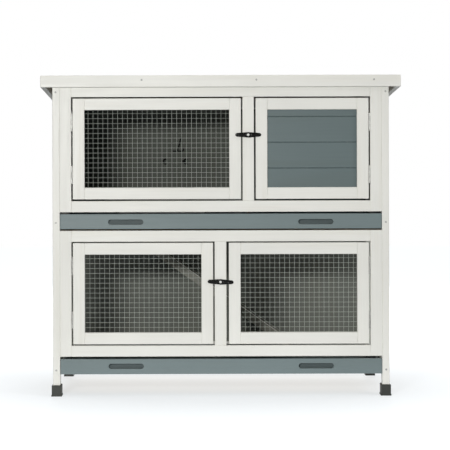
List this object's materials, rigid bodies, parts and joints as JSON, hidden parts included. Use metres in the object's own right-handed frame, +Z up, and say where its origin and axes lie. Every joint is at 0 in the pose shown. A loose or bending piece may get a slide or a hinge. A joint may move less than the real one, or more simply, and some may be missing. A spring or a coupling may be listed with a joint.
{
  "type": "rabbit hutch",
  "caption": "Two-storey rabbit hutch with mesh and boarded hinged doors, plain bar turn-button latches, slide-out trays, an inside ramp and a sloping felted roof.",
  "frame": {"origin": "middle of the footprint on the floor", "axes": "+X to the right seen from the front, +Y to the back, +Z up"},
  "size_m": [1.165, 0.587, 1.0385],
  "materials": {
    "white_paint": "satin white paint on planed softwood",
    "grey_paint": "satin blue-grey paint on softwood",
    "back_paint": "flat white wash on plywood",
    "bare_wood": "bare softwood and plywood",
    "ramp_wood": "thin white paint on softwood",
    "mesh_wire": "galvanised welded wire",
    "hinge_steel": "zinc plated",
    "screw_steel": "zinc plated, dulled",
    "black_iron": "black japanned casting",
    "black_wire": "black coated wire",
    "black_plastic": "moulded, fine grained",
    "tray_plastic": "moulded grey",
    "roof_felt": "mineral-faced bitumen felt"
  },
  "bodies": {
    "hutch": {"back_panels": "back_paint", "back_rails": "white_paint", "bottle_hanger": "black_wire", "fascia_screws": "screw_steel", "feeder_hooks": "black_wire", "floor_bearers": "bare_wood", "foot_caps": "black_plastic", "frame_screws": "screw_steel", "hinge_fixed_leaves": "hinge_steel", "hinge_pins": "hinge_steel", "latch_screws": "screw_steel", "leg_front_left": "white_paint", "leg_front_right": "white_paint", "leg_rear_left": "white_paint", "leg_rear_right": "white_paint", "lower_front_bottom_rail": "white_paint", "lower_front_mid_stile": "white_paint", "lower_front_side_stiles": "white_paint", "lower_front_top_rail": "white_paint", "nest_partition": "bare_wood", "ramp_rest": "bare_wood", "roof_board": "bare_wood", "roof_felt": "roof_felt", "roof_front_fascia": "white_paint", "roof_rear_fascia": "white_paint", "roof_side_fascias": "white_paint", "side_boards": "white_paint", "side_mesh": "mesh_wire", "side_rails": "white_paint", "tray_floors": "bare_wood", "upper_front_bottom_rail": "white_paint", "upper_front_mid_stile": "white_paint", "upper_front_side_stiles": "white_paint", "upper_front_top_rail": "white_paint"},
    "door_upper_left": {"door_upper_left_hinge_leaves": "hinge_steel", "door_upper_left_infill": "mesh_wire", "door_upper_left_rails": "white_paint", "door_upper_left_stiles": "white_paint"},
    "door_upper_right": {"door_upper_right_hinge_leaves": "hinge_steel", "door_upper_right_infill": "grey_paint", "door_upper_right_rails": "white_paint", "door_upper_right_stiles": "white_paint"},
    "door_lower_left": {"door_lower_left_hinge_leaves": "hinge_steel", "door_lower_left_infill": "mesh_wire", "door_lower_left_rails": "white_paint", "door_lower_left_stiles": "white_paint"},
    "door_lower_right": {"door_lower_right_hinge_leaves": "hinge_steel", "door_lower_right_infill": "mesh_wire", "door_lower_right_rails": "white_paint", "door_lower_right_stiles": "white_paint"},
    "latch_upper": {"latch_upper": "black_iron"},
    "latch_lower": {"latch_lower": "black_iron"},
    "tray_upper": {"upper_tray_front": "grey_paint", "upper_tray_pan": "tray_plastic"},
    "tray_lower": {"lower_tray_front": "grey_paint", "lower_tray_pan": "tray_plastic"},
    "ramp": {"ramp_board": "ramp_wood", "ramp_rungs": "ramp_wood", "ramp_side_rails": "ramp_wood", "ramp_hinge_leaves": "hinge_steel"}
  },
  "joints": [
    {"name": "upper_left_door_swing", "type": "hinge", "parent": "hutch", "child": "door_upper_left", "pos_m": [-0.482, -0.277, 0.8015], "axis": [0, 0, -1], "range_deg": [0, 170]},
    {"name": "upper_right_door_swing", "type": "hinge", "parent": "hutch", "child": "door_upper_right", "pos_m": [0.482, -0.277, 0.8015], "axis": [0, 0, 1], "range_deg": [0, 170]},
    {"name": "lower_left_door_swing", "type": "hinge", "parent": "hutch", "child": "door_lower_left", "pos_m": [-0.482, -0.277, 0.33425], "axis": [0, 0, -1], "range_deg": [0, 170]},
    {"name": "lower_right_door_swing", "type": "hinge", "parent": "hutch", "child": "door_lower_right", "pos_m": [0.482, -0.277, 0.33425], "axis": [0, 0, 1], "range_deg": [0, 170]},
    {"name": "latch_upper_turn", "type": "hinge", "parent": "hutch", "child": "latch_upper", "pos_m": [0.0895, -0.2785, 0.8455], "axis": [0, -1, 0], "range_deg": [-90, 90]},
    {"name": "latch_lower_turn", "type": "hinge", "parent": "hutch", "child": "latch_lower", "pos_m": [-0.0015, -0.2785, 0.3695], "axis": [0, -1, 0], "range_deg": [-90, 90]},
    {"name": "upper_tray_slide", "type": "slide", "parent": "hutch", "child": "tray_upper", "axis": [0, -1, 0], "range_m": [0, 0.5]},
    {"name": "lower_tray_slide", "type": "slide", "parent": "hutch", "child": "tray_lower", "axis": [0, -1, 0], "range_m": [0, 0.5]},
    {"name": "ramp_lift", "type": "hinge", "parent": "hutch", "child": "ramp", "pos_m": [-0.3484, 0.167, 0.5375], "axis": [0, -1, 0], "range_deg": [0, 30]}
  ]
}
